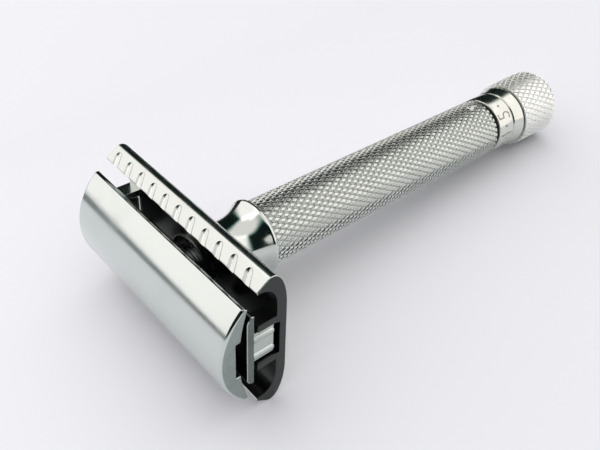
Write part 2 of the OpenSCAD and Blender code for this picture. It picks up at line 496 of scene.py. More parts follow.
class Bench:
    """Modelling steps that work on one object at a time, as by hand."""

    @staticmethod
    def clear() -> None:
        """Leaves edit mode and deselects everything."""
        if bpy.context.object and bpy.context.object.mode != "OBJECT":
            bpy.ops.object.mode_set(mode="OBJECT")
        bpy.ops.object.select_all(action="DESELECT")

    @classmethod
    def take(cls, piece: bpy.types.Object) -> None:
        """Selects one object and makes it active."""
        cls.clear()
        piece.select_set(True)
        bpy.context.view_layer.objects.active = piece

    @classmethod
    def chain(cls, name: str, points: Sequence[Vector]) -> bpy.types.Object:
        """Draws a chain of edges by extruding one vertex from point to point.

        Args:
            name: The new object's name.
            points: The points, in order.

        Returns:
            The object, left in edit mode with its last vertex selected.
        """
        cls.clear()
        bpy.ops.mesh.primitive_plane_add(size=MM, location=(0, 0, 0))
        piece = bpy.context.object
        piece.name = name
        bpy.ops.object.mode_set(mode="EDIT")
        bpy.ops.mesh.select_mode(type="VERT")
        bpy.ops.mesh.select_all(action="SELECT")
        bpy.ops.mesh.merge(type="CENTER")
        bpy.ops.transform.translate(value=points[0])
        for here, there in zip(points, points[1:]):
            bpy.ops.mesh.extrude_region_move(TRANSFORM_OT_translate={"value": there - here})
        return piece

    @classmethod
    def plate(cls, name: str, outline: Sequence[Point], low: float, high: float) -> bpy.types.Object:
        """A closed outline in X and Z, pulled out along Y.

        Args:
            name: The new object's name.
            outline: The outline's points, in millimetres.
            low: Where it starts along Y, in millimetres.
            high: Where it ends.

        Returns:
            The closed solid.
        """
        points = [Vector((x * MM, low * MM, z * MM)) for x, z in outline]
        piece = cls.chain(name, points)
        bpy.ops.mesh.select_all(action="SELECT")
        bpy.ops.mesh.edge_face_add()
        bpy.ops.mesh.extrude_region_move(TRANSFORM_OT_translate={"value": (0, (high - low) * MM, 0)})
        cls.outward()
        return piece

    @classmethod
    def turned(cls, name: str, outline: Sequence[Point], steps: int = 128) -> bpy.types.Object:
        """A closed outline of X and radius, spun about the handle's axis.

        Args:
            name: The new object's name.
            outline: The outline's points, in millimetres. It is closed unless both ends are on the axis.
            steps: Number of steps round the axis.

        Returns:
            The closed solid.
        """
        on_axis = outline[0][1] == 0 and outline[-1][1] == 0
        ring = list(outline) if on_axis else [*outline, outline[0]]
        piece = cls.chain(name, [Vector((x * MM, 0, r * MM)) for x, r in ring])
        bpy.ops.mesh.select_all(action="SELECT")
        bpy.ops.mesh.spin(steps=steps, angle=math.tau, center=(0, 0, 0), axis=AXIS_X)
        cls.outward()
        return piece

    @classmethod
    def outward(cls) -> None:
        """Merges doubles, points every face outwards and leaves edit mode."""
        bpy.ops.mesh.select_all(action="SELECT")
        bpy.ops.mesh.remove_doubles(threshold=MERGE)
        bpy.ops.mesh.normals_make_consistent(inside=False)
        bpy.ops.object.mode_set(mode="OBJECT")

    @classmethod
    def block(cls, name: str, low: Sequence[float], high: Sequence[float]) -> bpy.types.Object:
        """A block between two corners, in millimetres.

        Args:
            name: The new object's name.
            low: Its lowest corner.
            high: Its highest corner.

        Returns:
            The block.
        """
        cls.clear()
        size = [(b - a) * MM for a, b in zip(low, high)]
        centre = [(a + b) / 2 * MM for a, b in zip(low, high)]
        bpy.ops.mesh.primitive_cube_add(size=1, location=centre, scale=size)
        piece = bpy.context.object
        piece.name = name
        cls.settle(piece)
        return piece

    @classmethod
    def rod(cls, name: str, start: Vector, end: Vector, radius: float, sides: int = 32) -> bpy.types.Object:
        """A round rod with domed ends, in millimetres.

        Args:
            name: The new object's name.
            start: Centre of its first end.
            end: Centre of its last end.
            radius: Its radius.
            sides: Number of sides.

        Returns:
            The rod.
        """
        cls.clear()
        along = end - start
        turn = along.to_track_quat("Z", "Y").to_euler()
        middle = (start + end) / 2 * MM
        bpy.ops.mesh.primitive_cylinder_add(
            vertices=sides, radius=radius * MM, depth=along.length * MM, location=middle, rotation=turn
        )
        piece = bpy.context.object
        piece.name = name
        cls.settle(piece)
        return piece

    @classmethod
    def settle(cls, piece: bpy.types.Object) -> None:
        """Puts a piece's place into its mesh."""
        cls.take(piece)
        bpy.ops.object.transform_apply(location=True, rotation=True, scale=True)

    @classmethod
    def modify(cls, piece: bpy.types.Object, kind: str, **settings: object) -> None:
        """Adds a modifier to a piece and applies it.

        Args:
            piece: The piece to change.
            kind: The modifier's type.
            settings: Its settings.
        """
        cls.take(piece)
        modifier = piece.modifiers.new(kind.lower(), kind)
        for key, value in settings.items():
            setattr(modifier, key, value)
        bpy.ops.object.modifier_apply(modifier=modifier.name)

    @classmethod
    def score(cls, piece: bpy.types.Object, place: float) -> None:
        """Adds a loop of edges round a piece.

        Args:
            piece: The piece.
            place: Where the loop is along Y, in millimetres.
        """
        cls.take(piece)
        bpy.ops.object.mode_set(mode="EDIT")
        bpy.ops.mesh.select_all(action="SELECT")
        bpy.ops.mesh.bisect(plane_co=(0, place * MM, 0), plane_no=(0, 1, 0), threshold=CUT)
        bpy.ops.object.mode_set(mode="OBJECT")

    @classmethod
    def round_edges(cls, piece: bpy.types.Object, width: float, segments: int = 3, angle: float = 32) -> None:
        """Rounds the sharp edges.

        Args:
            piece: The piece to round.
            width: Width of the rounding, in millimetres.
            segments: Number of steps in the rounding.
            angle: Edges sharper than this are rounded, in degrees.
        """
        cls.modify(
            piece, "BEVEL", width=width * MM, segments=segments, limit_method="ANGLE",
            angle_limit=math.radians(angle), use_clamp_overlap=True,
        )

    @classmethod
    def combine(cls, piece: bpy.types.Object, other: bpy.types.Object, operation: str) -> None:
        """Joins or cuts a piece with another, which is used up.

        Args:
            piece: The piece that stays.
            other: The piece that is added or taken away.
            operation: UNION or DIFFERENCE.
        """
        cls.modify(piece, "BOOLEAN", operation=operation, solver="EXACT", object=other)
        bpy.data.objects.remove(other)

    @classmethod
    def copy(cls, piece: bpy.types.Object, matrix: Matrix) -> bpy.types.Object:
        """Copies a piece with its own mesh, moved by a matrix.

        Args:
            piece: The piece to copy.
            matrix: The move, in metres.

        Returns:
            The copy, with its place in its mesh.
        """
        twin = piece.copy()
        twin.data = piece.data.copy()
        bpy.context.scene.collection.objects.link(twin)
        twin.matrix_world = matrix
        cls.settle(twin)
        return twin

    @classmethod
    def join(cls, pieces: Sequence[bpy.types.Object]) -> bpy.types.Object:
        """Joins pieces into the first one.

        Args:
            pieces: The pieces to join.

        Returns:
            The joined piece.
        """
        cls.clear()
        for piece in pieces:
            piece.select_set(True)
        bpy.context.view_layer.objects.active = pieces[0]
        bpy.ops.object.join()
        return pieces[0]

    @classmethod
    def smooth(cls, piece: bpy.types.Object, angle: float = 30, flat: bool = False) -> None:
        """Shades a piece smooth, apart from its sharp edges.

        Args:
            piece: The piece to shade.
            angle: Edges sharper than this stay sharp, in degrees.
            flat: Whether wide faces keep their own normals up to their rounded edges.
        """
        cls.take(piece)
        bpy.ops.object.shade_smooth_by_angle(angle=math.radians(angle))
        if flat:
            cls.modify(piece, "WEIGHTED_NORMAL", keep_sharp=True)

    @staticmethod
    def reshape(piece: bpy.types.Object, move: Callable[[Vector], Vector]) -> None:
        """Moves every vertex by a rule.

        Args:
            piece: The piece to reshape.
            move: Gives a vertex's new place from its old one.
        """
        for vertex in piece.data.vertices:
            vertex.co = move(vertex.co)
        piece.data.update()


class SubAssembly:
    """What every sub-assembly does with its finished pieces."""

    def place(
        self, piece: bpy.types.Object, finish: bpy.types.Material, body: str, slot: str, *nodes: str
    ) -> None:
        """Gives a finished piece its material and its body, and hides the nodes that it stands for.

        Args:
            piece: The finished piece.
            finish: Its material.
            body: The body that it rides on.
            slot: The name of a material slot; not used.
            nodes: The nodes that it replaces.
        """
        piece.data.materials.clear()
        piece.data.materials.append(finish)
        if nodes:
            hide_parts(*nodes)
        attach(piece, body)
        LOG.info("%s: %d faces, rides on %s", piece.name, len(piece.data.polygons), body)


def refinish(
    piece: bpy.types.Object, finish: bpy.types.Material, chosen: Callable[[Vector, Vector], bool]
) -> None:
    """Gives some of a piece's faces another finish.

    Args:
        piece: The piece, which has its main finish already.
        finish: The other finish.
        chosen: Says from a face's centre, in millimetres, and its normal whether it takes the other finish.
    """
    piece.data.materials.append(finish)
    number = len(piece.data.materials) - 1
    for face in piece.data.polygons:
        if chosen(face.center / MM, face.normal):
            face.material_index = number


def dress(frame: dict, finish: bpy.types.Material, *nodes: str) -> None:
    """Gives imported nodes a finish.

    Args:
        frame: The loaded frame.
        finish: The material.
        nodes: The nodes' names.
    """
    for name in nodes:
        node = frame["nodes"][name]
        node.data.materials.clear()
        node.data.materials.append(finish)
        LOG.info("%s: dressed in %s", name, finish.name)


# ------------------------------------------------------------------------ head


@dataclass
class Cap(SubAssembly):
    """The arched cap, its threaded post and its two lugs, in millimetres."""

    crown_r: float = 13.4
    hollow_r: float = 31.0
    hollow_x: float = -1.5
    channel_x: float = -2.15
    channel_z: float = 3.6
    end_round: float = 0.55
    boss_r: float = 3.3
    thread_pitch: float = 0.7
    thread_depth: float = 0.28
    thread_l: float = 26.0
    thread_steps: int = 24

    def outline(self, rise: float, half_w: float) -> list[Point]:
        """The cap's section.

        Args:
            rise: Height of the crown.
            half_w: Half the cap's width.

        Returns:
            The section's points, in X and Z.
        """
        top = math.degrees(math.asin(half_w / self.crown_r))
        crown = arc((self.crown_r - rise, 0), self.crown_r, 180 - top, 180 + top, 64)
        reach = half_w - 0.2
        side = math.degrees(math.asin(reach / self.hollow_r))
        inner = math.degrees(math.asin(self.channel_z / self.hollow_r))
        centre = (self.hollow_r + self.hollow_x, 0)
        low = arc(centre, self.hollow_r, 180 + side, 180 + inner, 16)
        channel = [(self.channel_x, -self.channel_z), (self.channel_x, self.channel_z)]
        return [*crown, *low, *channel, *mirrored(reversed(low))]

    def build(
        self,
        finish: bpy.types.Material,
        ground: bpy.types.Material,
        inner: bpy.types.Material,
        shaded_steel: bpy.types.Material,
    ) -> None:
        """Builds the cap, the post and the lugs.

        Args:
            finish: The cap's finish.
            ground: The darker finish of its end faces, painted shade.
            inner: The near-black finish of its underside, painted shade.
            shaded_steel: The post's and the lugs' dark finish, painted shade.
        """
        low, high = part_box("cap")
        rise, half_w, half_l = -low.x / MM, high.z / MM, high.y / MM
        cap = Bench.plate("cap_shell", self.outline(rise, half_w), -half_l, half_l)
        self.round_ends(cap, half_l)
        Bench.round_edges(cap, 0.1, 3, 40)
        root_x = self.channel_x - 0.4
        ring = [(root_x, 2.0), (-1.1, 2.0), (-0.9, 2.2), (-0.9, self.boss_r - 0.2), (-1.1, self.boss_r)]
        boss = Bench.turned("cap_boss", [*ring, (root_x, self.boss_r)], 64)
        cap = Bench.join([cap, boss])
        Bench.smooth(cap)
        self.place(cap, finish, "cap", "polished_chrome", "cap")
        # The cap's end faces get the darker chrome: painted shade.
        refinish(cap, ground, lambda p, n: abs(n.y) > 0.9 and abs(p.y) > half_l - 0.1)
        # The cap's underside gets the near-black chrome: painted shade.
        refinish(cap, inner, lambda p, n: n.x > 0.3 and abs(p.z) < half_w - 0.25)
        self.post(shaded_steel)
        self.lugs(shaded_steel)

    def round_ends(self, cap: bpy.types.Object, half_l: float) -> None:
        """Rounds the crown's two end edges.

        Args:
            cap: The cap.
            half_l: Half the cap's length.
        """
        Bench.take(cap)
        mesh = cap.data
        centre = Vector((self.crown_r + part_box("cap")[0].x / MM, 0)) * MM
        on_end = [abs(abs(v.co.y) - half_l * MM) < 0.01 * MM for v in mesh.vertices]
        radii = [(Vector((v.co.x, v.co.z)) - centre).length for v in mesh.vertices]
        on_crown = [abs(radius - self.crown_r * MM) < 0.02 * MM for radius in radii]
        bpy.ops.object.mode_set(mode="EDIT")
        bpy.ops.mesh.select_mode(type="EDGE")
        bpy.ops.mesh.select_all(action="DESELECT")
        bpy.ops.object.mode_set(mode="OBJECT")
        for edge in mesh.edges:
            a, b = edge.vertices
            across = abs(mesh.vertices[a].co.y - mesh.vertices[b].co.y) < 0.01 * MM
            edge.select = across and on_end[a] and on_end[b] and on_crown[a] and on_crown[b]
        bpy.ops.object.mode_set(mode="EDIT")
        bpy.ops.mesh.bevel(offset=self.end_round * MM, segments=5, profile=0.5, affect="EDGES")
        bpy.ops.object.mode_set(mode="OBJECT")
        half_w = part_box("cap")[1].z
        Bench.reshape(cap, lambda p: Vector((p.x, p.y, max(-half_w, min(half_w, p.z)))))

    def post(self, shaded_steel: bpy.types.Material) -> None:
        """Builds the post with its thread."""
        low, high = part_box("cap_post")
        start, end, radius = low.x / MM, high.x / MM, high.z / MM
        core = radius - self.thread_depth
        begin = end - self.thread_l
        outline = [(start, 0), (start, radius), (begin - 0.4, radius), (begin, core), (end - 0.3, core)]
        shank = Bench.turned("cap_post_threaded", [*outline, (end, core - 0.3), (end, 0)], 48)
        ridge = self.thread(begin, end - 0.5, core, radius)
        post = Bench.join([shank, ridge])
        Bench.smooth(post)
        self.place(post, shaded_steel, "cap", "bright_steel", "cap_post")

    def thread(self, begin: float, end: float, core: float, crest: float) -> bpy.types.Object:
        """One helical ridge.

        Args:
            begin: Where it starts along X.
            end: Where it ends.
            core: Radius at its root.
            crest: Radius at its crest.

        Returns:
            The ridge.
        """
        half = self.thread_pitch * 0.42
        root, top = core - 0.05, crest - 0.02
        section = [(begin, root), (begin + half * 0.8, top), (begin + half * 1.2, top)]
        section.append((begin + half * 2, root))
        points = [Vector((x * MM, 0, r * MM)) for x, r in [*section, section[0]]]
        ridge = Bench.chain("thread_ridge", points)
        bpy.ops.mesh.select_all(action="SELECT")
        bpy.ops.mesh.remove_doubles(threshold=MERGE)
        bpy.ops.object.mode_set(mode="OBJECT")
        turns = int((end - begin) / self.thread_pitch) - 1
        Bench.modify(
            ridge, "SCREW", axis="X", angle=math.tau, iterations=turns,
            screw_offset=self.thread_pitch * MM, steps=self.thread_steps, render_steps=self.thread_steps,
        )
        bpy.ops.object.mode_set(mode="EDIT")
        bpy.ops.mesh.select_all(action="DESELECT")
        bpy.ops.mesh.select_non_manifold(extend=False)
        bpy.ops.mesh.edge_face_add()
        Bench.outward()
        return ridge

    def lugs(self, shaded_steel: bpy.types.Material) -> None:
        """Builds the two blade lugs with domed ends."""
        low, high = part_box("cap_lugs")
        radius = high.z / MM
        tip = high.x / MM
        outline = [(low.x / MM, 0), (low.x / MM, radius), *arc((tip - radius * 0.7, 0), radius, 90, 45, 4)]
        outline += [(tip, radius * 0.45), (tip, 0)]
        first = Bench.turned("blade_lugs", outline, 40)
        side = high.y - radius * MM
        Bench.reshape(first, lambda p: p + Vector((0, side, 0)))
        second = Bench.copy(first, Matrix.Translation((0, -2 * side, 0)))
        lugs = Bench.join([first, second])
        Bench.smooth(lugs)
        self.place(lugs, shaded_steel, "cap", "bright_steel", "cap_lugs")


@dataclass
class BladeBed(SubAssembly):
    """The bed behind the blade, with a ribbed tab at each end, in millimetres."""

    chamfer: float = 1.1
    plate_t: float = 1.35
    tab_w: float = 6.1
    tab_l: float = 2.6
    rib_r: float = 0.75
    rib_z: float = 1.75
    post_hole: float = 2.06
    lug_hole: float = 1.66
    lug_y: float = 9.0

    def build(
        self, finish: bpy.types.Material, ground: bpy.types.Material, inner: bpy.types.Material
    ) -> None:
        """Builds the bed.

        Args:
            finish: Its finish.
            ground: The darker finish of its end faces, painted shade.
            inner: The near-black finish of its hidden middle part, painted shade.
        """
        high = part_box("blade_bed")[1]
        half_w, half_l, tab_x = high.z / MM, high.y / MM, high.x / MM
        nose = self.chamfer * 0.8
        half = [(0, half_w - self.chamfer), (nose * 0.35, half_w - 0.35), (nose, half_w)]
        half.append((self.plate_t, half_w))
        outline = [*mirrored(half), *reversed(half)]
        plate = Bench.plate("bed_plate", outline, -half_l, half_l)
        Bench.round_edges(plate, 0.22, 4, 24)
        for place, radius in ((0, self.post_hole), (self.lug_y, self.lug_hole), (-self.lug_y, self.lug_hole)):
            drill = Bench.rod("drill", Vector((-1, place, 0)), Vector((3, place, 0)), radius, 48)
            Bench.combine(plate, drill, "DIFFERENCE")
        parts = [plate, *self.tab(half_l, tab_x)]
        mirror = Matrix.Rotation(math.pi, 4, "X")
        parts += [Bench.copy(part, mirror) for part in parts[1:]]
        bed = Bench.join(parts)
        Bench.smooth(bed, flat=True)
        self.place(bed, finish, "bed", "satin_chrome", "blade_bed")
        # The bed away from its tabs gets the near-black chrome: painted shade.
        refinish(bed, inner, lambda p, n: abs(p.y) < half_l - self.tab_l - 0.4)
        # The bed's end faces get the darker chrome: painted shade.
        refinish(bed, ground, lambda p, n: abs(n.y) > 0.9 and p.x < self.plate_t)

    def tab(self, half_l: float, tab_x: float) -> list[bpy.types.Object]:
        """One end tab.

        Args:
            half_l: Half the bed's length.
            tab_x: Where the tab ends along X.

        Returns:
            The tab's block and its two ribs.
        """
        face = half_l - 0.35
        block = Bench.block(
            "bed_tab", (self.plate_t - 0.3, face - self.tab_l, -self.tab_w / 2), (tab_x, face, self.tab_w / 2)
        )
        Bench.round_edges(block, 0.3, 4)
        ribs = []
        for z in (-self.rib_z, self.rib_z):
            centre = face - self.rib_r + 0.34
            foot, top = Vector((self.plate_t - 0.5, centre, z)), Vector((tab_x - 0.05, centre, z))
            rib = Bench.rod("bed_rib", foot, top, self.rib_r)
            Bench.round_edges(rib, 0.5, 6)
            ribs.append(rib)
        return [block, *ribs]


@dataclass
class BasePlate(SubAssembly):
    """The channel with its two grooved safety bars and its guide arms, in millimetres."""

    guard_x: float = 1.6
    guard_z: float = 11.6
    lip: float = 0.42
    facet: Point = (1.9, 1.4)
    wall_in: float = 5.4
    arm_t: float = 1.35
    arm_l: float = 3.2
    arm_gap: float = 0.3
    arm_x: float = 1.86
    slot_x: float = 6.0
    tab_w: float = 6.1
    groove_n: int = 11
    groove_pitch: float = 3.73
    groove_slant: float = 31.0
    groove_shift: float = 0.25
    groove_w: float = 1.5
    groove_l: float = 2.55
    groove_depth: float = 0.27
    groove_fade: float = 1.5
    hub_r: float = 4.6

    def outline(self, wall_out: float) -> list[Point]:
        """The channel's section.

        Args:
            wall_out: Where the back wall's outer face is.

        Returns:
            The section's points, in X and Z.
        """
        facet_end = (self.guard_x + self.facet[0], self.guard_z + self.facet[1])
        outer = [(self.guard_x, self.guard_z), (self.guard_x + 0.02, self.guard_z + 0.1)]
        outer += curve(facet_end, (5.3, 14.25), (7.1, 11.6), (wall_out, 7.0), 20)
        lip = (self.guard_x + 0.12, self.guard_z - self.lip)
        inner = curve(lip, (3.6, 11.3), (5.3, 10.2), (self.wall_in, 7.0), 16)
        return [*outer, *mirrored(reversed(outer)), *mirrored(inner), *reversed(inner)]

    def build(
        self, finish: bpy.types.Material, ground: bpy.types.Material, inner: bpy.types.Material
    ) -> None:
        """Builds the base plate.

        Args:
            finish: Its finish.
            ground: The finish of its end faces.
            inner: The near-black finish inside the channel, painted shade, left off near the +Y end.
        """
        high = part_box("base_plate")[1]
        half_l = high.y / MM
        base = Bench.plate("base_channel", self.outline(high.x / MM), -half_l, half_l)
        for side in (-1, 1):
            Bench.score(base, (half_l - self.arm_l - 0.7) * side)
        Bench.round_edges(base, 0.14, 3, 28)
        slot_z = self.tab_w / 2 + self.arm_gap
        for side in (-1, 1):
            for lift in (-1, 1):
                near, far = slot_z * lift, (slot_z + self.arm_t) * lift
                ends = sorted(((half_l - self.arm_l) * side, (half_l - 0.04) * side))
                arm = Bench.block(
                    "guide_arm",
                    (self.arm_x, ends[0], min(near, far)),
                    (self.wall_in + 0.3, ends[1], max(near, far)),
                )
                Bench.round_edges(arm, 0.16, 3)
                Bench.combine(base, arm, "UNION")
            ends = sorted(((half_l - self.arm_l) * side, (half_l + 1) * side))
            slot = Bench.block("slot", (self.wall_in - 1, ends[0], -slot_z), (self.slot_x, ends[1], slot_z))
            Bench.combine(base, slot, "DIFFERENCE")
        hub = Bench.rod("hub", Vector((0, 0, 0)), Vector((12, 0, 0)), self.hub_r, 96)
        Bench.combine(base, hub, "DIFFERENCE")
        Bench.combine(base, self.grooves(), "DIFFERENCE")
        Bench.smooth(base, 30, flat=True)
        self.place(base, finish, "handle", "satin_chrome", "base_plate")
        refinish(base, ground, lambda p, n: abs(n.y) > 0.9 and abs(p.y) > half_l - 0.2)
        # The channel's insides, except near the +Y end, get the near-black chrome: painted shade.
        refinish(base, inner, lambda p, n: self.inside(p, n) and p.y < half_l - self.arm_l - 0.7)

    def inside(self, place: Vector, normal: Vector) -> bool:
        """Whether a face of the channel looks inwards.

        Args:
            place: The face's centre, in millimetres.
            normal: Its normal.

        Returns:
            True for the channel's inner faces and the sides of the guide arms.
        """
        floor = place.x < self.slot_x and normal.x < -0.2 and abs(place.z) < self.guard_z - self.lip
        sides = self.guard_x + 0.15 < place.x < self.slot_x and abs(place.z) < 11.4 and abs(normal.x) <= 0.9
        return floor or sides

    def grooves(self) -> bpy.types.Object:
        """The cutters of all the grooves, on both safety bars.

        Returns:
            The cutters, joined.
        """
        tilt = math.atan2(self.facet[1], self.facet[0])
        turn = Matrix.Rotation(-tilt, 4, "Y") @ Matrix.Rotation(math.radians(self.groove_slant), 4, "Z")
        aim = Matrix.Rotation(math.radians(-self.groove_fade), 4, "Y")
        first = self.cutter()
        cutters = []
        for i in range(self.groove_n):
            y = (i - (self.groove_n - 1) / 2) * self.groove_pitch - self.groove_shift
            spot = Matrix.Translation((self.guard_x * MM, y * MM, self.guard_z * MM))
            for side in (Matrix.Identity(4), Matrix.Rotation(math.pi, 4, "X")):
                cutters.append(Bench.copy(first, side @ spot @ turn @ aim))
        bpy.data.objects.remove(first)
        return Bench.join(cutters)

    def cutter(self) -> bpy.types.Object:
        """One groove's cutter: a round bar with a domed end, along X.

        Returns:
            The cutter, with its underside at the groove's depth.
        """
        half = self.groove_w / 2
        radius = (half**2 + self.groove_depth**2) / (2 * self.groove_depth)
        lift = radius - self.groove_depth
        tip = self.groove_l + 0.1
        dome = curve(
            (self.groove_l - half * 1.3, radius), (self.groove_l - half * 0.5, radius),
            (self.groove_l, lift + self.groove_depth * 0.6), (tip, lift - 0.05), 10,
        )
        cutter = Bench.turned("groove_cutter", [(-2.0, 0), (-2.0, radius), *dome, (tip, 0)], 72)
        Bench.reshape(cutter, lambda p: p + Vector((0, 0, lift * MM)))
        return cutter


# ---------------------------------------------------------------------- handle


@dataclass
class Neck(SubAssembly):
    """The polished neck and the nut behind the bed, in millimetres."""

    waist_r: float = 5.35
    waist_x: float = 10.6
    rim_r: float = 7.05
    rim_x: float = 16.9
    bore: float = 3.3
    spigot: float = 4.58
    nut_bore: float = 4.6

    def build(self, finish: bpy.types.Material, nut_finish: bpy.types.Material) -> None:
        """Builds the neck.

        Args:
            finish: The neck's finish.
            nut_finish: The nut's finish.
        """
        low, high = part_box("neck_collar")
        wall_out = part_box("base_plate")[1].x / MM
        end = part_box("handle_tube")[0].x / MM
        start, spigot_end = low.x / MM, high.x / MM
        bore, spigot = self.bore, self.spigot
        waist = (self.waist_x, self.waist_r)
        rim = (self.rim_x, self.rim_r)
        outline = [(start + 0.2, bore), (start, bore + 0.2), (start, spigot - 0.2), (start + 0.2, spigot)]
        outline.append((wall_out, spigot))
        outline += curve((wall_out, 6.7), (wall_out + 0.6, 5.7), (9.0, self.waist_r), waist, 12)
        outline += curve((self.waist_x + 0.4, self.waist_r), (14.2, 5.3), (15.3, 6.05), rim, 20)
        outline += [(self.rim_x + 0.15, self.rim_r + 0.02), (end - 0.12, self.rim_r - 0.02)]
        outline.append((end, self.rim_r - 0.16))
        outline += [(end, spigot), (spigot_end, spigot), (spigot_end, bore)]
        neck = Bench.turned("neck_flare", outline, 160)
        Bench.smooth(neck, 35)
        self.place(neck, finish, "handle", "polished_chrome", "neck_collar")
        low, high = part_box("neck_nut")
        start, end, radius = low.x / MM, high.x / MM, high.z / MM
        ring = [(start, self.nut_bore), (start, radius - 0.25), (start + 0.25, radius), (end, radius)]
        ring.append((end, self.nut_bore))
        nut = Bench.turned("neck_ring_nut", ring, 96)
        Bench.smooth(nut, 35)
        self.place(nut, nut_finish, "handle", "satin_chrome", "neck_nut")


@dataclass
class Knurl:
    """A sleeve of raised diamonds round the handle's axis, in millimetres.

    Attributes:
        starts: Diamonds round the sleeve.
        depth: Depth of the valleys.
        flat: Part of each diamond's half-width that is flat on top.
        angle: Slant of the valleys against the handle's axis, in degrees.
        slope_part: Part of the depth that the valley's side takes.
        brow_part: Part of the depth that the rounded brow above it takes.
        brow_w: Width of the brow, as a part of the side's width.
    """

    starts: int = 33
    depth: float = 0.33
    flat: float = 0.46
    angle: float = 30.0
    slope_part: float = 0.9
    brow_part: float = 0.1
    brow_w: float = 0.2

    def sleeve(
        self, name: str, start: float, end: float, crest: Callable[[float], float], bore: float
    ) -> bpy.types.Object:
        """Builds the sleeve: one diamond, repeated over a flat sheet, rolled up and closed.

        Args:
            name: The new object's name.
            start: Where it starts along X.
            end: Where it ends.
            crest: Gives the crests' radius at a place along X.
            bore: The sleeve's inner radius.

        Returns:
            The closed sleeve.
        """
        mean_r = crest((start + end) / 2)
        width = math.tau * mean_r / self.starts
        rows = max(2, round((end - start) / (width / math.tan(math.radians(self.angle)))))
        length = (end - start) / rows
        tile = self.diamond(width, length)
        sheet = Bench.join([tile, Bench.copy(tile, Matrix.Translation((length / 2 * MM, width / 2 * MM, 0)))])
        for count, step in ((rows + 1, (length * MM, 0, 0)), (self.starts, (0, width * MM, 0))):
            Bench.modify(
                sheet, "ARRAY", count=count, use_relative_offset=False, use_constant_offset=True,
                constant_offset_displace=step,
            )
        Bench.reshape(sheet, lambda p: p + Vector(((start - length / 2) * MM, 0, 0)))
        for place, keep in ((start, 1), (end, -1)):
            Bench.take(sheet)
            bpy.ops.object.mode_set(mode="EDIT")
            bpy.ops.mesh.select_all(action="SELECT")
            bpy.ops.mesh.remove_doubles(threshold=SHEET_MERGE)
            bpy.ops.mesh.select_all(action="SELECT")
            bpy.ops.mesh.bisect(
                plane_co=(place * MM, 0, 0), plane_no=(keep, 0, 0), clear_inner=True, threshold=CUT
            )
            bpy.ops.object.mode_set(mode="OBJECT")
        girth = width * self.starts

        def rolled(p: Vector) -> Vector:
            """A sheet point's place on the sleeve."""
            angle = math.tau * p.y / (girth * MM)
            radius = crest(p.x / MM) * MM + p.z
            return Vector((p.x, radius * math.cos(angle), radius * math.sin(angle)))

        Bench.reshape(sheet, rolled)
        sheet.name = name
        self.close(sheet, start, end, bore)
        return sheet

    def diamond(self, width: float, length: float) -> bpy.types.Object:
        """One raised diamond.

        Args:
            width: Its width round the sleeve.
            length: Its length along the sleeve.

        Returns:
            The diamond, with its top at height 0.
        """
        Bench.clear()
        bpy.ops.mesh.primitive_circle_add(vertices=4, radius=0.5, fill_type="NOTHING", location=(0, 0, 0))
        tile = bpy.context.object
        bpy.ops.object.mode_set(mode="EDIT")
        bpy.ops.transform.resize(value=(length * MM, width * MM, 1))
        bpy.ops.transform.translate(value=(0, 0, -self.depth * MM))
        brow = self.flat + (1.0 - self.flat) * self.brow_w
        for part, size in ((self.slope_part, brow), (self.brow_part, self.flat / brow)):
            rise = self.depth * part * MM
            bpy.ops.mesh.extrude_region_move(TRANSFORM_OT_translate={"value": (0, 0, rise)})
            bpy.ops.transform.resize(value=(size, size, 1))
        bpy.ops.mesh.edge_face_add()
        bpy.ops.mesh.select_all(action="SELECT")
        bpy.ops.mesh.normals_make_consistent(inside=False)
        bpy.ops.object.mode_set(mode="OBJECT")
        if max(face.normal.z for face in tile.data.polygons) < 0.5:
            Bench.take(tile)
            bpy.ops.object.mode_set(mode="EDIT")
            bpy.ops.mesh.select_all(action="SELECT")
            bpy.ops.mesh.flip_normals()
            bpy.ops.object.mode_set(mode="OBJECT")
        return tile

    def close(self, sheet: bpy.types.Object, start: float, end: float, bore: float) -> None:
        """Merges the seam and closes the sleeve's ends and bore.

        Args:
            sheet: The rolled sheet.
            start: Where it starts along X.
            end: Where it ends.
            bore: The bore's radius.
        """
        Bench.take(sheet)
        bpy.ops.object.mode_set(mode="EDIT")
        bpy.ops.mesh.select_all(action="SELECT")
        bpy.ops.mesh.remove_doubles(threshold=SEAM_MERGE)
        bpy.ops.mesh.select_all(action="DESELECT")
        bpy.ops.mesh.select_non_manifold(extend=False)
        bpy.ops.mesh.extrude_region_move()
        bpy.ops.object.mode_set(mode="OBJECT")
        for vertex in sheet.data.vertices:
            if vertex.select:
                flat = Vector((0, vertex.co.y, vertex.co.z))
                vertex.co -= flat * (1 - bore * MM / flat.length)
        bpy.ops.object.mode_set(mode="EDIT")
        bpy.ops.mesh.bridge_edge_loops()
        Bench.outward()


@dataclass
class Handle(SubAssembly):
    """The knurled grip, in millimetres."""

    bore: float = 4.62

    def build(self, finish: bpy.types.Material) -> None:
        """Builds the grip.

        Args:
            finish: Its finish.
        """
        low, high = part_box("handle_tube")
        radius = high.z / MM
        grip = Knurl().sleeve("grip_knurled", low.x / MM + 0.02, high.x / MM, lambda x: radius, self.bore)
        self.place(grip, finish, "handle", "knurled_chrome", "handle_tube")


# --------------------------------------------------------------- dial and knob


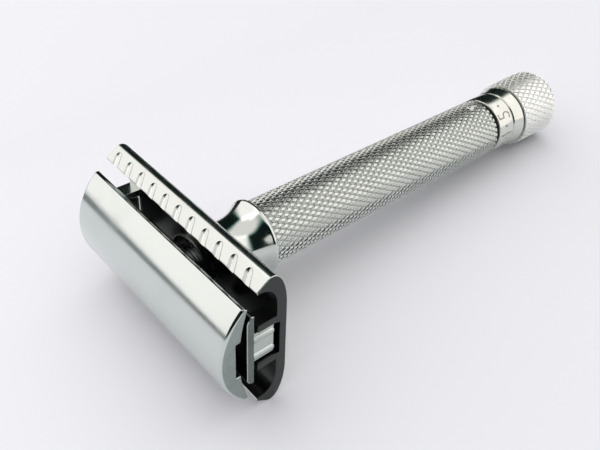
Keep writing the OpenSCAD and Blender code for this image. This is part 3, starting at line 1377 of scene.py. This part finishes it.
@dataclass
class Dial(SubAssembly):
    """The numbered band with its plain collar and its numbers, in millimetres."""

    bore: float = 3.4
    band_r: float = 6.3
    groove_x: float = 85.1
    groove_w: float = 0.22
    groove_depth: float = 0.12
    gap: float = 0.26
    gap_r: float = 6.15
    count: int = 5
    number_h: float = 4.1
    glyph_scale: float = 1.38
    glyph_squeeze: float = 0.82
    glyph_t: float = 0.09
    first_angle: float = 317.0
    step_angle: float = 45.0
    proud: float = 0.03
    thinning: float = 0.07

    def build(self, finish: bpy.types.Material, enamel: bpy.types.Material) -> None:
        """Builds the dial and its numbers.

        Args:
            finish: The dial's finish.
            enamel: The numbers' finish.
        """
        low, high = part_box("dial_ring")
        start, end, collar_r = low.x / MM, high.x / MM, high.z / MM
        radius = self.band_r
        groove = self.groove_x
        outline = [(start, self.bore), (start, radius - 0.25), (start + 0.08, radius - 0.07)]
        outline.append((start + 0.25, radius))
        outline += [(groove - 0.05, radius), (groove, radius - 0.05)]
        outline.append((groove + 0.04, radius - self.groove_depth))
        outline += [(groove + self.groove_w - 0.04, radius - self.groove_depth)]
        outline += [(groove + self.groove_w, radius - 0.02), (groove + self.groove_w + 0.25, radius + 0.12)]
        outline += curve(
            (groove + self.groove_w + 0.3, radius + 0.13), (groove + 1.6, radius + 0.2),
            (end - 1.2, collar_r - 0.06), (end - self.gap - 0.12, collar_r), 8
        )
        outline += [(end - self.gap, collar_r - 0.1), (end - self.gap, self.gap_r), (end, self.gap_r)]
        outline.append((end, self.bore))
        ring = Bench.turned("dial_band", outline, 160)
        Bench.smooth(ring, 35)
        self.place(ring, finish, "knob", "dial_chrome", "dial_ring")
        middle = (start + groove) / 2
        numbers = Bench.join([self.number(n + 1, middle, radius) for n in range(self.count)])
        numbers.name = "dial_numbers"
        self.place(numbers, enamel, "knob", "grey_enamel", "dial_numerals")

    def number(self, n: int, middle: float, radius: float) -> bpy.types.Object:
        """One number, wrapped round the band, with its head towards the razor's head.

        Args:
            n: The number.
            middle: The band's middle along X.
            radius: The band's radius.

        Returns:
            The number's mesh.
        """
        Bench.clear()
        bpy.ops.object.text_add(location=(0, 0, 0))
        text = bpy.context.object
        text.data.body = str(n)
        text.data.size = self.number_h * self.glyph_scale * MM
        text.data.align_x = "CENTER"
        text.data.align_y = "CENTER"
        text.data.extrude = self.glyph_t * MM
        text.data.offset = -self.thinning * MM
        text.data.resolution_u = 6
        bpy.ops.object.convert(target="MESH")
        glyph = bpy.context.object
        Bench.settle(glyph)
        centre = math.radians(self.first_angle - (n - 1) * self.step_angle)
        ys = [v.co.y for v in glyph.data.vertices]
        mid_y = (max(ys) + min(ys)) / 2

        def wrapped(p: Vector) -> Vector:
            """A flat point's place on the band."""
            angle = centre - p.x * self.glyph_squeeze / (radius * MM)
            r = (radius + self.proud) * MM + p.z - self.glyph_t * MM
            return Vector((middle * MM - (p.y - mid_y), r * math.cos(angle), r * math.sin(angle)))

        Bench.reshape(glyph, wrapped)
        Bench.take(glyph)
        bpy.ops.object.mode_set(mode="EDIT")
        Bench.outward()
        return glyph


@dataclass
class Knob(SubAssembly):
    """The knurled knob, in millimetres."""

    start_r: float = 7.25
    bore: float = 3.4
    rim: float = 1.9
    drop: float = 1.1
    face_r: float = 5.3
    edge_r: float = 5.95
    flat_r: float = 5.8

    def build(self, finish: bpy.types.Material, face_finish: bpy.types.Material) -> None:
        """Builds the knob.

        Args:
            finish: The knurl's paler finish, painted sheen.
            face_finish: The end face's finish.
        """
        low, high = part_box("knob_shell")
        start, end, radius = low.x / MM, high.x / MM, high.z / MM
        lock_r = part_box("lock_screw")[1].z / MM
        shoulder = end - self.rim

        def crest(x: float) -> float:
            """The crests' radius at a place along X."""
            run = min(1.0, max(0.0, (x - start) / (shoulder - start)))
            over = max(0.0, x - shoulder) / self.rim
            return self.start_r + (radius - self.start_r) * math.sqrt(run) - self.drop * over**2

        knurl = Knurl(starts=34, depth=0.26, flat=0.62, angle=27.0)
        sleeve = knurl.sleeve("knob_knurled", start + 0.02, end - 0.1, crest, self.bore + 0.02)
        self.place(sleeve, finish, "knob", "knurled_chrome", "knob_shell")
        face = [(shoulder, lock_r), (shoulder, self.face_r), (end - 0.1, self.edge_r), (end, self.flat_r)]
        face += [(end, lock_r + 0.2), (end - 0.2, lock_r)]
        disc = Bench.turned("knob_end_face", face, 128)
        Bench.smooth(disc, 35)
        self.place(disc, face_finish, "knob", "knurled_chrome")


# ----------------------------------------------------------------------- stage


@dataclass(frozen=True)
class Window:
    """A bright part of the room, by its angles round and above the floor, in degrees.

    Attributes:
        left: Where it starts and is full, going round.
        right: Where it fades and ends, going round.
        bottom: Where it starts and is full, going up.
        top: Where it fades and ends, going up.
        strength: Its brightness.
    """

    left: Point
    right: Point
    bottom: Point
    top: Point
    strength: float

    def glow(self, around: Value, height: Value) -> Value:
        """Its light in a direction.

        Args:
            around: The direction's angle round the floor.
            height: Its angle above the floor.

        Returns:
            The light.
        """
        sideways = around.step(*self.left) * (1.0 - around.step(*self.right))
        upwards = height.step(*self.bottom) * (1.0 - height.step(*self.top))
        return sideways * upwards * self.strength


WINDOWS = (
    Window((78, 94), (152, 168), (-8, -3), (60, 76), 1.36),
    Window((-84, -66), (10, 28), (-1, 5), (54, 66), 1.42),
    Window((-400, -390), (390, 400), (50, 66), (120, 130), 1.0),
)


@dataclass(frozen=True)
class Card:
    """A low upright card that only reflections see, painting a dark reflection, in metres.

    Attributes:
        name: Its name.
        spot: Its middle, along X and Y.
        length: Its length.
        height: Its height.
        turn: Its turn about Z, in degrees.
        shade: How pale it is.
    """

    name: str
    spot: Point
    length: float
    height: float
    turn: float
    shade: float

    def paint(self) -> bpy.types.Material:
        """Its matt, slightly green paint."""
        return matt_paint(self.name + "_paint", (self.shade, self.shade * 1.1, self.shade * 1.07), 0.9)


# Cards seen only in reflections: painted dark reflections.
CARDS = (
    Card("painted_reflection_grey_card", (-0.075, 0.059), 0.16, 0.011, 50.0, 0.3),
    Card("painted_reflection_black_card", (0.13, 0.075), 0.27, 0.027, 0.0, 0.01),
)


@dataclass
class Studio:
    """The floor, the light and the camera.

    Attributes:
        camera_at: The camera's place, in millimetres.
        look: The direction it looks in.
        right: The direction to its right.
        lens: Its focal length, in millimetres.
        sensor: Its sensor's width, in millimetres.
        shift: Its shift, as a part of the picture's width.
        touch_x: Where the head touches the floor along X, in millimetres.
        knob_back: How far from its end the knob touches the floor, in millimetres.
        clearance: The gap under both, in millimetres.
        floor_size: The floor's size, in metres.
        floor_colour: The floor's colour.
        room_glow: Brightness of the room between its windows.
        room_dark: Colour of the room between its windows.
        room_light: Colour of the windows.
        key_at: The soft box's place, in metres.
        key_size: The soft box's size, in metres.
        key_power: The soft box's power, in watts.
    """

    camera_at: tuple[float, float, float] = (-47.08, -85.46, 89.35)
    look: tuple[float, float, float] = (0.60331, 0.57266, -0.55504)
    right: tuple[float, float, float] = (0.72382, -0.68538, 0.07962)
    lens: float = 46.27
    sensor: float = 36.0
    shift: Point = (-0.1024, -0.1124)
    touch_x: float = 4.9
    knob_back: float = 1.3
    clearance: float = 0.02
    floor_size: float = 3.0
    floor_colour: tuple[float, float, float] = (0.885, 0.88, 0.92)
    room_glow: float = 0.012
    room_dark: tuple[float, float, float] = (0.45, 1.0, 0.9)
    room_light: tuple[float, float, float] = (1.06, 1.0, 0.99)
    key_at: tuple[float, float, float] = (-0.12, 0.2, 0.6)
    key_size: float = 2.8
    key_power: float = 30.0

    def build(self) -> None:
        """Builds the whole stage."""
        self.floor()
        self.cards()
        self.camera()
        self.sky()
        self.lights()

    def floor(self) -> None:
        """A plane that touches the head's lower edge and the knob."""
        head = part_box("base_plate")
        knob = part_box("knob_shell")
        a = Vector((self.touch_x * MM, 0, head[0].z - self.clearance * MM))
        b = Vector((knob[1].x - self.knob_back * MM, 0, knob[0].z - self.clearance * MM))
        slope = math.atan2(b.z - a.z, b.x - a.x)
        Bench.clear()
        bpy.ops.mesh.primitive_plane_add(size=self.floor_size, location=a, rotation=(0, -slope, 0))
        floor = bpy.context.object
        floor.name = "floor"
        floor.data.materials.append(matt_paint("floor_paint", self.floor_colour, 0.7))

    def cards(self) -> None:
        """Two low cards behind the razor, which only the metal's reflections show: painted dark reflections.
        """
        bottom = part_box("base_plate")[0].z
        for card in CARDS:
            Bench.clear()
            place = (*card.spot, bottom + card.height / 2)
            turn = (math.pi / 2, 0, math.radians(card.turn))
            bpy.ops.mesh.primitive_plane_add(size=1, location=place, rotation=turn)
            sheet = bpy.context.object
            sheet.name = card.name
            sheet.scale = (card.length, card.height, 1)
            sheet.data.materials.append(card.paint())
            sheet.visible_camera = False
            sheet.visible_diffuse = False
            sheet.visible_shadow = False

    def camera(self) -> None:
        """The camera at the object's usual view."""
        data = bpy.data.cameras.new("camera")
        data.lens = self.lens
        data.sensor_width = self.sensor
        data.shift_x, data.shift_y = self.shift
        data.clip_start = 0.005
        camera = bpy.data.objects.new("camera", data)
        bpy.context.scene.collection.objects.link(camera)
        look = Vector(self.look).normalized()
        right = Vector(self.right).normalized()
        up = right.cross(look)
        turn = Matrix((right, up, -look)).transposed().to_4x4()
        camera.matrix_world = Matrix.Translation(Vector(self.camera_at) * MM) @ turn
        bpy.context.scene.camera = camera
        bpy.context.scene.view_settings.view_transform = "Standard"

    def sky(self) -> None:
        """A dark room with a window on two sides and a pale ceiling, which doesn't light the floor."""
        world = bpy.data.worlds.new("room")
        world.use_nodes = True
        bpy.context.scene.world = world
        kit = ShaderKit(world.node_tree)
        place = kit.node("ShaderNodeTexCoord", {}, {}).outputs["Generated"]
        axes = kit.node("ShaderNodeSeparateXYZ", {}, {0: place})
        x, y, z = (Value(kit, axes.outputs[i]) for i in range(3))
        around = y.angle(x) * (180 / math.pi)
        height = z.arcsine() * (180 / math.pi)
        light: Value | float = 0.0
        for window in WINDOWS:
            light = window.glow(around, height) + light
        tint = kit.mix(light.step(0.0, 0.75), self.room_dark, self.room_light)
        back = kit.node("ShaderNodeBackground", {}, {"Color": tint, "Strength": light + self.room_glow})
        kit.node("ShaderNodeOutputWorld", {}, {"Surface": back.outputs[0]})
        world.cycles_visibility.diffuse = False

    def lights(self) -> None:
        """A wide soft box above and behind on the left, which lights the floor."""
        data = bpy.data.lights.new("key", "AREA")
        data.shape = "SQUARE"
        data.size = self.key_size
        data.energy = self.key_power
        light = bpy.data.objects.new("key", data)
        light.visible_glossy = False
        bpy.context.scene.collection.objects.link(light)
        aim = Vector((0.03, 0, 0)) - Vector(self.key_at)
        turn = aim.to_track_quat("-Z", "Y").to_matrix().to_4x4()
        light.matrix_world = Matrix.Translation(self.key_at) @ turn


def main() -> None:
    """Builds every sub-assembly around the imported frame."""
    logging.basicConfig(level=logging.INFO, format="%(message)s")
    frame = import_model()
    finishes = {finish.name: finish.material() for finish in FINISHES}
    ground, inner = finishes["ground_chrome"], finishes["painted_shade_chrome"]
    Cap().build(finishes["cap_chrome"], finishes["cap_end_painted_shade"], inner, finishes["post_steel_painted_shade"])
    BladeBed().build(finishes["bed_chrome"], finishes["bed_end_painted_shade"], inner)
    BasePlate().build(finishes["head_chrome"], ground, inner)
    Neck().build(finishes["neck_chrome"], finishes["bed_chrome"])
    Handle().build(finishes["knurl_chrome"])
    Dial().build(finishes["dial_chrome"], finishes["grey_enamel"])
    Knob().build(finishes["knob_painted_sheen_chrome"], finishes["dial_chrome"])
    # The bed sleeve gets the dark post steel: painted shade.
    dress(frame, finishes["post_steel_painted_shade"], "bed_sleeve")
    # The spring, the ring and the lock screw get the dark steel: painted shade.
    dress(frame, finishes["spring_steel"], "bed_spring", "retaining_ring", "lock_screw")
    dress(frame, finishes["turned_brass"], "spring_seat", "bearing_bush", "thrust_washer", "draw_nut")
    dress(frame, finishes["seal_rubber"], "gap_seal")
    dress(frame, finishes["white_enamel"], "index_mark")
    dress(frame, finishes["grey_enamel"], "dial_dots")
    Studio().build()


if __name__ == "__main__":
    main()
